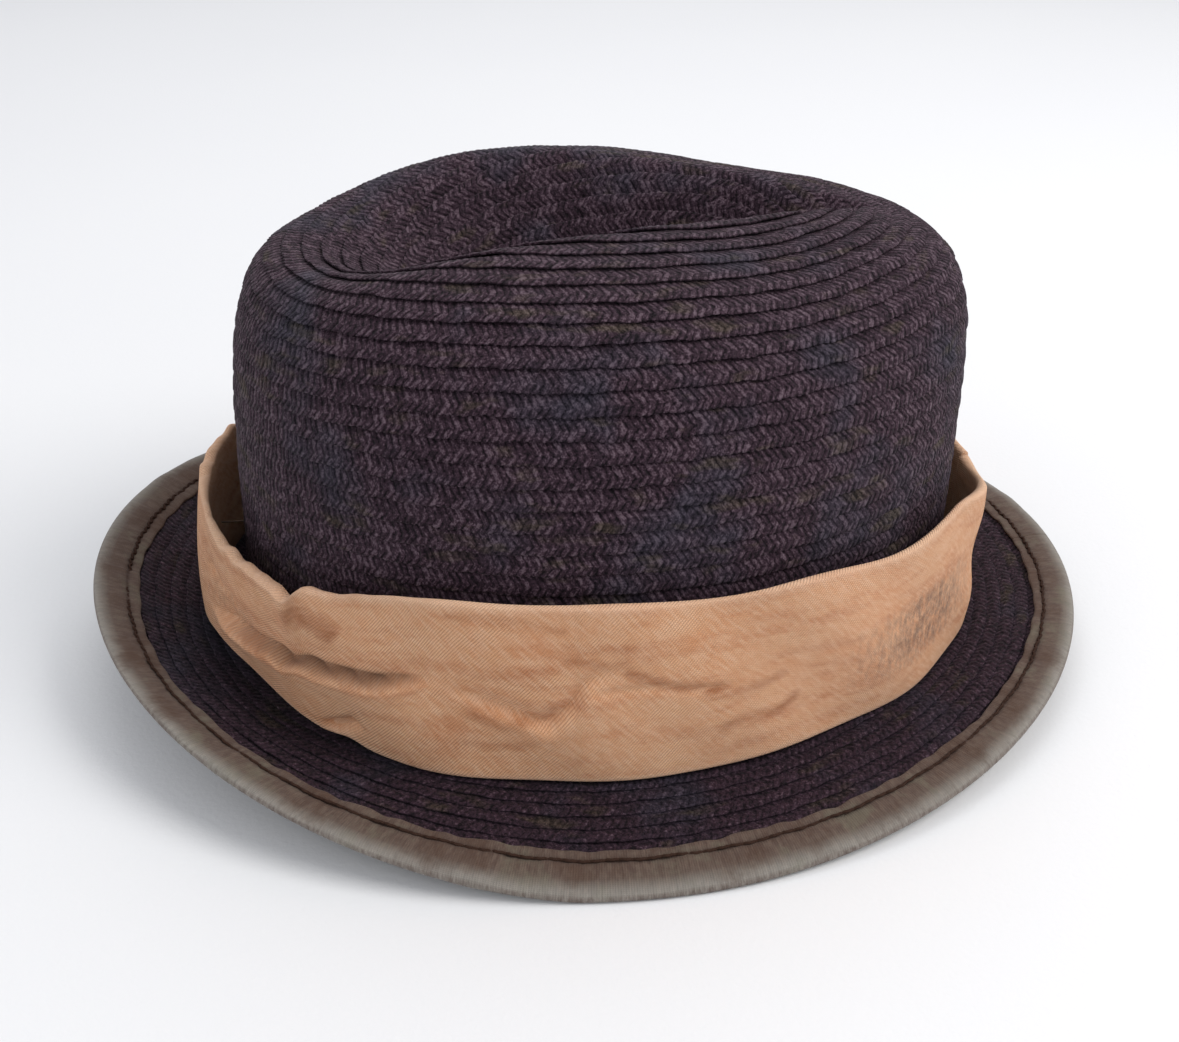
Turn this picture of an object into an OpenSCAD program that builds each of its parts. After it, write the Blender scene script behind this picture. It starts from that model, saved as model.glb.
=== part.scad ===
// Trilby hat in sewn straw braid, with a folded twill band and a bound brim edge.
// The front of the hat points to +X and the hat lies on its brim at z = 0.

/* [Head size] */
// Half length of the crown at the head line, outside the straw
head_half_l = 99.4; // [95:0.1:110]
// Half width of the crown at the head line, outside the straw
head_half_w = 84.3; // [80:0.1:93]
// How much narrower the oval is at the front than at the back
head_egg = 0.034; // [0:0.001:0.05]
// Height of the head line above the table
head_line_z = 9.5; // [8:0.5:14]

/* [Crown] */
// Height of the crown above the head line, before the dent is pressed
crown_h = 118; // [105:1:128]
// Height of the upright wall, below the shoulder
wall_h = 38.5; // [34:0.5:52]
// Squareness of the shoulder at the sides, where 2 is an ellipse
shoulder_side = 3.3; // [2.2:0.1:4]
// Squareness of the shoulder at the back
shoulder_back = 4.6; // [2.4:0.1:6]
// Squareness of the shoulder at the front
shoulder_front = 8.2; // [2.4:0.1:9]
// Lean of the front wall inwards, over 100 mm of height
lean_front = 1; // [0:0.1:6]
// Lean of the back wall inwards, over 100 mm of height
lean_back = 5.6; // [0:0.1:8]
// Lean of the side walls inwards, over 100 mm of height
lean_sides = 3.8; // [0:0.1:6]
// Fall of the crown's top towards the front, over 100 mm
crown_fall = 6.1; // [0:0.1:8]
// Extra fall of the crown's top at both ends, 100 mm from its middle
crown_bow = 7.2; // [0:0.1:10]
// Thickness of the sewn straw, where one row laps the next
straw_t = 1.6; // [1.2:0.1:2.2]

/* [Teardrop dent] */
// Depth of the dent
dent_depth = 34.9; // [14:0.1:36]
// Greatest half width of the dent, from fold to fold
dent_half_w = 43.4; // [26:0.1:46]
// Distance of the dent's round back end from the middle
dent_back = 88.3; // [65:0.1:90]
// Distance of the dent's pointed front end from the middle
dent_front = 74.4; // [70:0.1:91]

/* [Brim] */
// Width of the brim at the front, measured flat
brim_w_front = 39.4; // [28:0.1:45]
// Width of the brim at the back, measured flat
brim_w_back = 40.3; // [28:0.1:48]
// Width of the brim at the sides, measured flat
brim_w_side = 35.7; // [28:0.1:45]
// How much narrower the brim's outline is at the front than at the back
brim_egg = 0.01; // [0:0.01:0.05]
// Rise of the brim's edge at the front, over its sides
rise_front = 12; // [0:0.5:14]
// Rise of the brim's edge at the back, over its sides
rise_back = 26.5; // [8:0.5:30]

/* [Edge binding] */
// Width of the folded tape on each face of the brim
bind_w = 11; // [8:0.5:14]
// Thickness of the tape
bind_t = 0.7; // [0.5:0.1:1]
// Diameter of the wire in the fold of the tape
wire_d = 1.2; // [0.8:0.1:1.3]

/* [Hat band] */
// Height of the folded band at the sides
band_h = 49; // [40:1:55]
// How much lower the band has slumped at the back
slump_back = 11.5; // [0:0.5:14]
// How much lower the band has slumped at the front
slump_front = 16; // [0:0.5:18]
// Thickness of the folded band, two plies and the air between them
band_t = 2.4; // [1.6:0.2:3.2]
// Gap between the band and the straw at the sides
band_gap = 4.2; // [1.6:0.2:6]
// More gap at the back, where the band stands loose
band_gap_back = 4.5; // [0:0.1:5]
// More gap at the front
band_gap_front = 3.7; // [0:0.1:5]

/* [Sweatband and labels] */
// Height of the sweatband
sweat_h = 34; // [25:1:40]
// Thickness of the sweatband
sweat_t = 1; // [0.6:0.1:1.4]
// Width of the woven label
label_w = 56; // [40:1:70]
// Height of the woven label
label_h = 18; // [12:1:22]
// Width of the care label
care_w = 22; // [16:1:30]
// Height of the care label
care_h = 31; // [20:1:33]

/* [Hidden] */

segments = 60;         // flats round every oval
dome_rings = 18;       // rings from the shoulder to the tip of the crown
wall_rings = 4;        // rings up the wall
tip_angle = 86.5;      // the last ring, as an angle up the shoulder's curve
fit_gap = 0.05;        // play between pieces that are sewn face to face
lay_gap = 0.15;        // play between the tape and the straw
brim_curl = 1.25;      // 1 is a straight brim, and more bends it near the edge
flat_back = 0.11;      // where the edge starts to rise towards the back, as a cosine
flat_front = 0.11;     // where it starts to rise towards the front
power_back = 1.27;     // how gently the rise starts at the back
power_front = 1.55;    // how gently it starts at the front
shoulder_power = 8;    // how suddenly the front and back shoulders start
teardrop_power = 0.305; // a lower power makes the dent's back end blunter
dent_powers = [1.42, 1.6]; // how the dent deepens from its back end and from its point
thread_r = 0.25;       // radius of the sewing thread
stitch_s = 8.4;        // distance of the binding's stitches from the brim's edge
wire_s = 2.05;         // distance of the wire's middle from the brim's edge
seam_stitches = 60;
tack_angles = [20, 75, 130, 180, 230, 285, 340];

wall_top = head_line_z + wall_h;
dome_h = crown_h - wall_h;
crown_x = (brim_w_back - brim_w_front) / 2; // the crown sits forward of the brim's middle

// The binding's outer face, its rounded fold, and its lowest corner there: [from the edge, above the middle]
bind_top = straw_t / 2 + lay_gap + bind_t;
bind_fold = [[2.2, bind_top], [0.9, 0.85 * bind_top], [0.15, 0.45 * bind_top], [0, 0]];
low_corner = bind_fold[1];

// Height of the middle of the brim's edge at the sides, which puts that corner on the table
low_share = pow(1 - low_corner[0] / brim_w_side, brim_curl);
edge_z = (low_corner[1] - head_line_z * (1 - low_share)) / low_share;

steps = [for (i = [0:segments - 1]) 360 * i / segments];

// ---- shapes as formulas -------------------------------------------------------------------

function mix(a, b, w) = a + (b - a) * w;

// Half length and half width of the crown's walls at the height z, on the side of the angle a
function wall_half(z, a) =
    let (up = (z - head_line_z) / 100)
    [head_half_l - mix(lean_back, lean_front, (1 + cos(a)) / 2) * up, head_half_w - lean_sides * up];

// Outline of the crown at the height z, moved outwards by out
function oval(a, out = 0, z = head_line_z) =
    let (half = wall_half(z, a))
    [crown_x + (half[0] + out) * cos(a), (half[1] + out) * sin(a) * (1 - head_egg * cos(a))];

// The same, as a place in space
function wall_point(a, out, z) = concat(oval(a, out, z), [z]);

// A lobe from s = 0 to s = 1, which is 1 high at its peak and starts and ends with these powers
function lobe(s, start, end) =
    let (peak = start / (start + end))
    s <= 0 || s >= 1 ? 0 : pow(s / peak, start) * pow((1 - s) / (1 - peak), end);

// Depth of the dent at a place on the crown's top
function dent(x, y) =
    let (s = (x + dent_back) / (dent_back + dent_front), w = dent_half_w * lobe(s, teardrop_power, 1),
         u = w > 0 ? abs(y) / w : 1)
    u >= 1 ? 0 : dent_depth * lobe(s, dent_powers[0], dent_powers[1]) * pow(1 - u * u, 2);

// A place on the crown's outer face: v runs from 0 at the head line through 1 at the shoulder to 2
function crown_point(a, v) =
    v <= 1 ? wall_point(a, 0, mix(head_line_z + straw_t / 2 + fit_gap, wall_top, v)) :
    let (n = mix(shoulder_side, cos(a) > 0 ? shoulder_front : shoulder_back,
                 pow(cos(a), shoulder_power)),
         up = (v - 1) * tip_angle,
         r = pow(pow(cos(up), n) + pow(sin(up), n), -1 / n),
         rise = wall_top + dome_h * r * sin(up),
         half = wall_half(rise, a),
         p = [(half[0] - half[1] + half[1] * r * cos(up)) * cos(a),
              half[1] * r * cos(up) * sin(a) * (1 - head_egg * cos(a))],
         fall = crown_fall * p[0] / 100 + crown_bow * pow(p[0] / 100, 2))
    [crown_x + p[0], p[1], rise - fall * r * sin(up) - dent(p[0], p[1])];

function unit(p) = p / norm(p);

// Direction square to the crown's outer face
function crown_normal(a, v) =
    v <= 1 ? unit([cos(a) / head_half_l, sin(a) / head_half_w, 0]) :
    unit(cross(crown_point(a + 1, v) - crown_point(a - 1, v),
               crown_point(a, min(v + 0.02, 2)) - crown_point(a, v - 0.02)));

// Edge of the brim seen from above
function brim_edge(a) =
    [(head_half_l + (brim_w_front + brim_w_back) / 2) * cos(a),
     (head_half_w + brim_w_side) * sin(a) * (1 - brim_egg * cos(a))];

// Height of the middle of the brim's edge
function edge_height(a) =
    edge_z + rise_back * pow(max(0, (-cos(a) - flat_back) / (1 - flat_back)), power_back)
           + rise_front * pow(max(0, (cos(a) - flat_front) / (1 - flat_front)), power_front);

// A place in the brim, s inwards from its edge and h above its middle
function brim_point(a, s, h) =
    let (inner = oval(a), outer = brim_edge(a), w = 1 - s / norm(outer - inner),
         p = inner + (outer - inner) * w)
    [p[0], p[1], mix(head_line_z, edge_height(a), pow(max(w, 0), brim_curl)) + h];

function brim_width(a) = norm(brim_edge(a) - oval(a));

// ---- building blocks ----------------------------------------------------------------------

// A closed ring through sections of equal length, each listed clockwise seen along the sweep
module ring(sections) {
    n = len(sections);
    m = len(sections[0]);
    polyhedron(points = [for (s = sections) each s],
               faces = [for (i = [0:n - 1], j = [0:m - 1])
                            let (p = i * m, q = ((i + 1) % n) * m, k = (j + 1) % m)
                            each [[p + j, q + j, q + k], [p + j, q + k, p + k]]],
               convexity = 8);
}

// The same between two ends, which are closed flat
module sweep(sections) {
    n = len(sections);
    m = len(sections[0]);
    polyhedron(points = [for (s = sections) each s],
               faces = concat([for (i = [0:n - 2], j = [0:m - 1])
                                   let (p = i * m, q = p + m, k = (j + 1) % m)
                                   each [[p + j, q + j, q + k], [p + j, q + k, p + k]]],
                              [[for (j = [0:m - 1]) j]],
                              [[for (j = [m - 1:-1:0]) (n - 1) * m + j]]),
               convexity = 8);
}

// Corners of a thread's section, as steps away from its middle
function thread_corners(r, sides = 6) =
    [for (k = [0:sides - 1]) [r * cos(360 * k / sides), -r * sin(360 * k / sides)]];

// A thread or wire along the brim
module brim_thread(s, h, r, sides = 6, from = 0, to = 360, count = segments) {
    angles = [for (i = [0:count]) mix(from, to, i / count)];
    sections = [for (a = angles) [for (c = thread_corners(r, sides)) brim_point(a, s + c[0], h + c[1])]];
    if (to - from >= 360) ring([for (i = [0:count - 1]) sections[i]]);
    else sweep(sections);
}

// A patch on the inside of the crown, from depth d0 to d1 inside the outline
module inside_patch(a0, a1, z0, z1, d0, d1, count) {
    sweep([for (i = [0:count])
               let (a = mix(a0, a1, i / count))
               [wall_point(a, -d0, z0), wall_point(a, -d0, z1),
                wall_point(a, -d1, z1), wall_point(a, -d1, z0)]]);
}

// Angle that a length takes up along the inside of the oval, near the angle a
function span(a, length, depth) =
    let (p = oval(a - 0.5, -depth), q = oval(a + 0.5, -depth)) length / norm(q - p);

// ---- straw --------------------------------------------------------------------------------

module crown_braid() {
    heights = concat([for (k = [0:wall_rings]) k / wall_rings],
                     [for (k = [1:dome_rings]) 1 + k / dome_rings]);
    n = segments;
    m = len(heights);
    outer = [for (a = steps, v = heights) crown_point(a, v)];
    inner = [for (a = steps, v = heights) crown_point(a, v) - straw_t * crown_normal(a, v)];
    shift = n * m;
    walls = [for (i = [0:n - 1], k = [0:m - 2])
                 let (p = i * m + k, q = ((i + 1) % n) * m + k)
                 each [[p, p + 1, q + 1], [p, q + 1, q],
                       [shift + p, shift + q + 1, shift + p + 1], [shift + p, shift + q, shift + q + 1]]];
    rim = [for (i = [0:n - 1])
               let (p = i * m, q = ((i + 1) % n) * m)
               each [[p, q, shift + q], [p, shift + q, shift + p]]];
    tip = [for (j = [0:n / 2 - 1])
               let (p = j * m + m - 1, q = p + m,
                    r = (n - j - 1) * m + m - 1, t = ((n - j) % n) * m + m - 1)
               each concat(q != r ? [[p, r, q], [shift + p, shift + q, shift + r]] : [],
                           t != p ? [[p, t, r], [shift + p, shift + r, shift + t]] : [])];
    color("#2b2229")
    polyhedron(points = concat(outer, inner), faces = concat(walls, rim, tip), convexity = 10);
}

module brim_braid() {
    stations = [0, 0.06, 0.15, 0.3, 0.45, 0.6, 0.75, 0.9, 1];
    hem = wire_s + wire_d / 2 + lay_gap + 0.2;
    half = straw_t / 2;
    color("#2b2229")
    ring([for (a = steps)
              let (w = brim_width(a),
                   lip = concat(oval(a, -straw_t), [head_line_z]),
                   line = [for (k = stations) w - (w - hem) * k])
              concat([lip + [0, 0, half]], [for (s = line) brim_point(a, s, half)],
                     [for (i = [len(line) - 1:-1:0]) brim_point(a, line[i], -half)],
                     [lip - [0, 0, half]])]);
}

module head_seam_stitches() {
    size = [0.5, 3, 0.5];
    color("#1c161b")
    for (i = [0:seam_stitches - 1]) {
        a = 360 * (i + 0.5) / seam_stitches;
        turn = atan2(sin(a) / head_half_w, cos(a) / head_half_l);
        translate(wall_point(a, 0.75, head_line_z + 4)) rotate([0, 0, turn]) cube(size, center = true);
    }
}

// ---- brim edge ----------------------------------------------------------------------------

module edge_binding() {
    gap = bind_top - bind_t;
    outer = concat([[bind_w, bind_top], [bind_w / 2, bind_top]], bind_fold);
    inner = [[bind_t, 0], [1.3, 0.7 * gap], [2.2, gap], [bind_w / 2, gap], [bind_w, gap]];
    outer_under = [for (i = [len(outer) - 2:-1:0]) [outer[i][0], -outer[i][1]]];
    inner_under = [for (i = [len(inner) - 1:-1:1]) [inner[i][0], -inner[i][1]]];
    section = concat(outer, outer_under, inner_under, inner);
    color("#6d6157")
    ring([for (a = steps) [for (c = section) brim_point(a, c[0], c[1])]]);
}

module binding_thread_top() {
    color("#3d2a22")
    brim_thread(stitch_s, bind_top + thread_r + fit_gap, thread_r);
}

module binding_thread_under() {
    color("#3d2a22")
    brim_thread(stitch_s, -bind_top - thread_r - fit_gap, thread_r);
}

module brim_edge_wire() {
    color("#8d9096")
    brim_thread(wire_s, 0, wire_d / 2, 8, 180.2, 539.8);
}

module wire_ferrule() {
    outer_r = wire_d / 2 + 0.28;
    inner_r = wire_d / 2 + fit_gap;
    angles = [for (i = [-2:2]) 180 + 1.5 * i];
    n = len(angles);
    m = 8;
    pts = [for (a = angles, r = [outer_r, inner_r], c = thread_corners(r, m))
               brim_point(a, wire_s + c[0], c[1])];
    sides = [for (i = [0:n - 2], j = [0:m - 1])
                 let (p = 2 * m * i, q = p + 2 * m, k = (j + 1) % m)
                 each [[p + j, q + j, q + k], [p + j, q + k, p + k],
                       [p + m + j, q + m + k, q + m + j], [p + m + j, p + m + k, q + m + k]]];
    last = 2 * m * (n - 1);
    ends = [for (j = [0:m - 1])
                let (k = (j + 1) % m)
                each [[j, k, m + k], [j, m + k, m + j],
                      [last + j, last + m + k, last + k], [last + j, last + m + j, last + m + k]]];
    color("#a9a9a4")
    polyhedron(points = pts, faces = concat(sides, ends), convexity = 4);
}

// ---- hat band -----------------------------------------------------------------------------

// Gap between the straw and the band's inner face
function band_clear(a) = band_gap + (cos(a) < 0 ? band_gap_back : band_gap_front) * pow(cos(a), 2);

// The band's height: it starts to slump at 60 degrees from the back and at 35 from the front
function band_height(a) =
    let (back = min(1, max(0, (-cos(a) - 0.5) / 0.34)),
         front = min(1, max(0, (cos(a) - 0.82) / 0.18)))
    band_h - slump_back * back * back * (3 - 2 * back) - slump_front * pow(front, 1.5);

// The band's lower fold lies on the top of the brim
function band_foot(a) =
    let (inner = brim_width(a) - band_clear(a))
    max(brim_point(a, inner, straw_t / 2)[2], brim_point(a, inner - band_t, straw_t / 2)[2]) + 0.3;

module hat_band() {
    section = [[0.25, 0], [0.75, 0], [1, 0.03], [1, 0.25], [1, 0.5], [1, 0.75], [1, 0.97],
               [0.75, 1], [0.25, 1], [0, 0.97], [0, 0.75], [0, 0.5], [0, 0.25], [0, 0.03]];
    color("#c49a7c")
    ring([for (a = steps)
              let (foot = band_foot(a))
              [for (i = [len(section) - 1:-1:0])
                   let (c = section[i])
                   wall_point(a, band_clear(a) + band_t * c[0], foot + band_height(a) * c[1])]]);
}

module band_tacks() {
    color("#b58d70")
    for (a = tack_angles) {
        turn = atan2(sin(a) / head_half_w, cos(a) / head_half_l);
        reach = band_clear(a) * 0.85 - 0.3;
        translate(wall_point(a, 0.3, head_line_z + band_h / 2)) rotate([0, 90, turn])
        cylinder(h = reach, r = thread_r, $fn = 24);
    }
}

// ---- inside -------------------------------------------------------------------------------

sweat_out = straw_t + 0.4;
sweat_in = sweat_out + sweat_t;

module sweatband() {
    low = head_line_z - 1;
    color("#4a3b35")
    ring([for (a = steps)
              [wall_point(a, -sweat_out, low), wall_point(a, -sweat_in, low),
               wall_point(a, -sweat_in, low + sweat_h), wall_point(a, -sweat_out, low + sweat_h)]]);
}

module sweatband_thread() {
    d = sweat_in + thread_r + fit_gap;
    color("#2e2420")
    ring([for (a = steps)
              [for (c = thread_corners(thread_r)) wall_point(a, -d + c[0], head_line_z + 1.5 - c[1])]]);
}

module woven_label() {
    half = span(180, label_w / 2, sweat_in);
    low = head_line_z + 8;
    color("#8a7f74")
    inside_patch(180 - half, 180 + half, low, low + label_h, sweat_in + 0.12, sweat_in + 0.6, 12);
}

module woven_label_thread() {
    half = span(180, label_w / 2 - 1.5, sweat_in);
    tick = span(180, 2 * thread_r, sweat_in);
    low = head_line_z + 9;
    color("#3b342e")
    for (a = [180 - half, 180 + half])
        inside_patch(a - tick / 2, a + tick / 2, low, low + label_h - 2, sweat_in + 0.68, sweat_in + 1.1, 1);
}

module care_label() {
    half = span(140, care_w / 2, sweat_in);
    low = head_line_z + 0.5;
    color("#d9d6cf")
    inside_patch(140 - half, 140 + half, low, low + care_h, sweat_in + 0.75, sweat_in + 1.05, 5);
}

crown_braid();
brim_braid();
head_seam_stitches();
edge_binding();
binding_thread_top();
binding_thread_under();
brim_edge_wire();
wire_ferrule();
hat_band();
band_tacks();
sweatband();
sweatband_thread();
woven_label();
woven_label_thread();
care_label();
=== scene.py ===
"""A trilby sewn from straw braid, with a loose twill band, a bound brim and a sweatband."""

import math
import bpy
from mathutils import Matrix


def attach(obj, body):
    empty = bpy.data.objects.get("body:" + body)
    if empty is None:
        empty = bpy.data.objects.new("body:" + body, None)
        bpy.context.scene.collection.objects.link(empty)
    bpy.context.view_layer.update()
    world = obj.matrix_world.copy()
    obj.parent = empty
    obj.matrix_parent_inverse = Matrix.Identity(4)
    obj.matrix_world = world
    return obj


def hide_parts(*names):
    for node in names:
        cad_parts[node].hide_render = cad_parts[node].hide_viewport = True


bl_info = {
    "name": "Straw Trilby",
    "version": (1, 0, 0),
    "blender": (4, 5, 0),
    "location": "View3D > Sidebar > Trilby",
    "description": "Makes a trilby of sewn straw braid, piece by piece, around its packed frame",
    "category": "Add Mesh",
}

import bpy
import numpy as np
from mathutils import Vector

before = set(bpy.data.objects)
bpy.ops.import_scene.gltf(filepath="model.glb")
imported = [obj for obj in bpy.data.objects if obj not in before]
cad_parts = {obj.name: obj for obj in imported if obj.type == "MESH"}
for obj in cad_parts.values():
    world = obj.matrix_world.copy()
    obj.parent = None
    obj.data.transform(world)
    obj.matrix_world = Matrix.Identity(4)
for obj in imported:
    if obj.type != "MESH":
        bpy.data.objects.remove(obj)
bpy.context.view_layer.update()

TURN = 2 * math.pi
MM = 0.001
HEAD_RADIUS = 98  # mean radius of the band in millimetres, which turns an angle into a length


# ---- sizes and colours ----


def length(name, text, metres):
    return bpy.props.FloatProperty(
        name=name, description=text, default=metres, min=0, unit="LENGTH", precision=5
    )


def number(name, text, value):
    return bpy.props.FloatProperty(name=name, description=text, default=value)


def count(name, text, value):
    return bpy.props.IntProperty(name=name, description=text, default=value, min=1)


def colour(name, text, red, green, blue):
    return bpy.props.FloatVectorProperty(
        name=name, description=text, default=(red, green, blue), size=3, min=0, max=1, subtype="COLOR"
    )


class TrilbyBlock(bpy.types.PropertyGroup):
    """The shape that the straw is pressed to."""

    half_l: length("Half length", "Half the crown's length at the head line, outside the straw", 0.0994)
    half_w: length("Half width", "Half the crown's width at the head line", 0.0843)
    egg: number("Egg", "How much narrower the crown is at the front", 0.034)
    brim_egg: number("Brim egg", "How much narrower the brim's outline is at the front", 0.01)
    head_line: length("Head line", "Height at which crown and brim meet", 0.0095)
    crown_h: length("Crown height", "From the head line to the crown's top before the dent", 0.118)
    wall_h: length("Wall height", "Height of the crown's straight wall", 0.0385)
    shoulder_side: number("Side shoulder", "Squareness of the shoulder at the sides", 3.3)
    shoulder_back: number("Back shoulder", "Squareness of the shoulder at the back", 4.6)
    shoulder_front: number("Front shoulder", "Squareness of the shoulder at the front", 8.2)
    lean_front: number("Front lean", "Slope of the wall at the front", 0.01)
    lean_back: number("Back lean", "Slope of the wall at the back", 0.056)
    lean_sides: number("Side lean", "Slope of the wall at the sides", 0.038)
    crown_fall: number("Fall", "How much the top falls towards the front, as a slope", 0.061)
    crown_bow: length("Bow", "Extra fall of the top at both ends, 100 mm from its middle", 0.0072)
    dent_depth: length("Dent depth", "Depth of the dent in the crown", 0.0349)
    dent_half_w: length("Dent half width", "Half the dent's greatest width", 0.0434)
    dent_back: length("Dent back", "From the crown's middle to the dent's round end", 0.0883)
    dent_front: length("Dent front", "From the crown's middle to the dent's point", 0.0744)
    brim_front: length("Front brim", "Width of the brim at the front", 0.0394)
    brim_back: length("Back brim", "Width of the brim at the back", 0.0403)
    brim_side: length("Side brim", "Width of the brim at the sides", 0.0357)
    edge_z: length("Edge height", "Height of the brim's edge at the sides", 0.00113)
    rise_front: length("Front rise", "How much higher the brim's edge is at the front", 0.012)
    rise_back: length("Back rise", "How much higher the brim's edge is at the back", 0.0265)
    straw: length("Straw", "Thickness of the lapped straw", 0.0016)


class TrilbyBraid(bpy.types.PropertyGroup):
    """The plaited braid and how it is sewn."""

    crown_rows: count("Crown rows", "Rows of braid from the head line to the crown's tip", 36)
    brim_rows: count("Brim rows", "Rows of braid from the brim's edge to the head line", 10)
    hidden_rows: count("Hidden rows", "Crown rows that lie under the hat band", 6)
    step: length("Step", "Distance between two sections of the braid where it shows", 0.00042)
    hidden_step: length("Hidden step", "Distance between two sections where it doesn't show", 0.001)
    strand: length("Strand", "Distance from one strand of the plait to the next", 0.0018)
    lean: number("Lean", "How far a strand leans along the braid as it crosses it", 0.6)
    turn: length("Turn", "Where the strands turn back, above the braid's outer selvedge", 0.0021)
    strand_relief: length("Relief", "Depth of the grooves between the strands", 0.00026)
    crown_step_up: length("Lap on the crown", "How far a row stands out over the next one", 0.00085)
    brim_step_up: length("Lap on the brim", "How far a row of the brim stands out over the next", 0.0006)


class TrilbyTrim(bpy.types.PropertyGroup):
    """The band, binding, sweatband and labels."""

    band_h: length("Band height", "Height of the folded band at the sides", 0.049)
    band_t: length("Band thickness", "Two plies of twill and the air between them", 0.0024)
    band_gap: length("Band gap", "Gap between band and straw at the sides", 0.0042)
    band_gap_back: length("Back gap", "More gap at the back, where the band stands loose", 0.0045)
    band_gap_front: length("Front gap", "More gap at the front", 0.0037)
    slump_back: length("Back slump", "How much lower the band stands at the back", 0.0115)
    slump_front: length("Front slump", "How much lower the band stands at the front", 0.016)
    ply: length("Ply", "Thickness of the band's cloth", 0.0005)
    binding_w: length("Binding width", "Width of the tape on each face of the brim", 0.011)
    stitch_inset: length("Stitch line", "From the brim's edge to the binding's stitches", 0.0084)
    stitch: length("Stitch", "Length of one stitch", 0.0033)
    thread: length("Thread", "Radius of the sewing thread", 0.00036)
    sweat_h: length("Sweatband height", "Height of the sweatband", 0.034)
    label_w: length("Label width", "Width of the woven label", 0.056)
    label_h: length("Label height", "Height of the woven label", 0.018)
    care_w: length("Care label width", "Width of the care label", 0.022)
    care_h: length("Care label height", "Height of the care label", 0.031)


class TrilbyColours(bpy.types.PropertyGroup):
    """The hat's colours."""

    straw: colour("Straw", "Strands of the straw braid", 0.044, 0.0225, 0.034)
    # Painted shade: the darker straw colour laid in the grooves between the strands
    straw_groove_shade: colour("Straw in the grooves", "Straw between the strands", 0.004, 0.002, 0.0035)
    # Painted highlight: a sheen colour laid on the raised backs of the strands
    straw_sheen: colour("Straw sheen", "Rubbed backs of the strands", 0.125, 0.088, 0.106)
    twill: colour("Twill", "The hat band's cloth", 0.58, 0.27, 0.132)
    twill_pale: colour("Washed twill", "The cloth where washing has faded it", 0.74, 0.43, 0.25)
    twill_stain: colour("Stain", "Brown stains along the folds", 0.30, 0.10, 0.035)
    tape: colour("Tape", "The binding's top", 0.078, 0.050, 0.039)
    tape_low: colour("Tape below", "The binding where it turns under", 0.165, 0.148, 0.128)
    seam_thread: colour("Seam thread", "Thread of the binding's stitches", 0.016, 0.006, 0.004)
    sweat: colour("Sweatband", "The sweatband's twill", 0.065, 0.045, 0.038)
    label: colour("Label", "The woven label", 0.25, 0.21, 0.17)
    care: colour("Care label", "The care label's satin", 0.7, 0.68, 0.62)
    floor: colour("Floor", "The pale floor", 0.71, 0.71, 0.72)


class TrilbyView(bpy.types.PropertyGroup):
    """The camera."""

    turn: number("Turn", "Degrees that the camera stands round from the side, towards the back", 5.84)
    height: number("Height", "Degrees that the camera looks down", 31.7)
    distance: length("Distance", "From the camera to what it looks at", 0.392)
    lens: number("Lens", "Focal length in millimetres", 41.63)


# ---- small sums ----


def mix(a, b, share):
    """Goes from a to b as the share goes from 0 to 1."""
    return a + (b - a) * share


def ease(x, low, high):
    """Goes smoothly from 0 at low to 1 at high."""
    x = np.clip((x - low) / (high - low), 0, 1)
    return x * x * (3 - 2 * x)


def lobe(s, start, end):
    """A lobe from s = 0 to s = 1, 1 high at its peak, that starts and ends with these powers."""
    peak = start / (start + end)
    return (s / peak) ** start * ((1 - s) / (1 - peak)) ** end


def hump(a, middle, width):
    """A smooth hump round the head, 1 high. Its middle and width are in degrees."""
    away = (np.degrees(a) - middle + 180) % 360 - 180
    return np.exp(-((away / width) ** 2))


def ripple(u, waves, start=0.0):
    """An uneven wave along u, made of waves of these lengths, about 1 high."""
    total = 0
    for k, wave in enumerate(waves):
        total = total + np.sin(TURN * u / wave + start + 2.3 * k)
    return total / math.sqrt(len(waves))


def chance(n):
    """A fixed number from 0 to 1 for each whole number."""
    return np.abs(np.sin(n * 12.9898) * 43758.5453) % 1


def lengths(points):
    """Distance along the first axis, of points[along, 3]."""
    return np.concatenate([[0], np.cumsum(np.linalg.norm(np.diff(points, axis=0), axis=1))])


class Surface:
    """A face of the hat, from points evenly spread by angle and then by share of the way across."""

    CLOSING = 9

    def __init__(self, points):
        self.points = points
        along = np.gradient(points, axis=0)
        along[0] = along[-1] = (points[1] - points[-2]) / 2
        normals = np.cross(along, np.gradient(points, axis=1))
        normals /= np.linalg.norm(normals, axis=-1, keepdims=True) + 1e-12
        # The face closes up at its far side, so the last columns share one normal
        normals[:, -self.CLOSING :] = normals[:, -self.CLOSING - 1 : -self.CLOSING]
        self.normals = normals

    def side_length(self):
        """Distance across the face at the side of the hat, a quarter turn from the front."""
        return lengths(self.points[len(self.points) // 4])[-1]

    def at(self, a, share):
        """Points and their outward normals."""
        rows, columns = self.points.shape[0] - 1, self.points.shape[1] - 1
        x = (a % TURN) / TURN * rows
        y = np.clip(share, 0, 1) * columns
        i = np.minimum(x.astype(int), rows - 1)
        j = np.minimum(y.astype(int), columns - 1)
        p, q = (x - i)[..., None], (y - j)[..., None]
        found = []
        for table in (self.points, self.normals):
            low = mix(table[i, j], table[i + 1, j], p)
            high = mix(table[i, j + 1], table[i + 1, j + 1], p)
            found.append(mix(low, high, q))
        return found


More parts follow.
